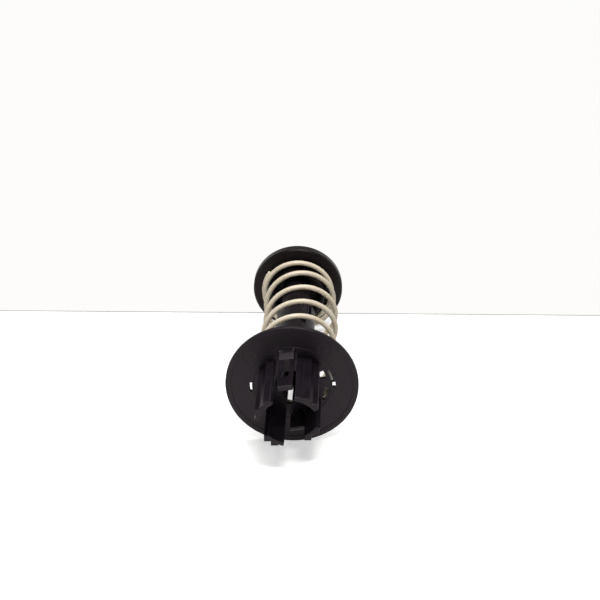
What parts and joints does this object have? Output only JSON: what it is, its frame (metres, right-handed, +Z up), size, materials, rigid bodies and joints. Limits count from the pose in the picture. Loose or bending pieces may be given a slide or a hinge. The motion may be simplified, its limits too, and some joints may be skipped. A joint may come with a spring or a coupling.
{
  "type": "pop-up spring strut",
  "caption": "Clip-in pop-up spring strut: flanged base with a clip cage, round-headed plunger and a coated compression spring.",
  "frame": {"origin": "centre of the flange face that seats on the panel", "axes": "+Y along the strut's axis, from the clip towards the plunger's head; +Z up as the strut lies; +X to the right seen from the clip end"},
  "size_m": [0.064, 0.1382, 0.064],
  "materials": {
    "base_plastic": "black moulded plastic with a fine grain",
    "plunger_plastic": "black moulded plastic, smoother than the base",
    "coated_spring": "cream powder coat on spring steel"
  },
  "bodies": {
    "base": {"flange_plate": "base_plastic", "guide_collar": "base_plastic", "guide_tube": "base_plastic", "base_spring_ring": "base_plastic", "clip_leg_upper_left": "base_plastic", "clip_leg_upper_right": "base_plastic", "clip_leg_lower_left": "base_plastic", "clip_leg_lower_right": "base_plastic", "clip_tongue_upper": "base_plastic", "clip_tongue_lower": "base_plastic", "spring": "coated_spring"},
    "plunger": {"head_disc": "plunger_plastic", "head_spring_ring": "plunger_plastic", "plunger_cup": "plunger_plastic", "plunger_rod": "plunger_plastic", "rod_hook_right": "plunger_plastic", "rod_hook_left": "plunger_plastic"}
  },
  "joints": [
    {"name": "plunger_slide", "type": "slide", "parent": "base", "child": "plunger", "axis": [0, 1, 0], "range_m": [-0.0285, 0], "stiffness_N_per_m": 1620, "springref_m": 0.01, "deforming": ["spring"]}
  ]
}
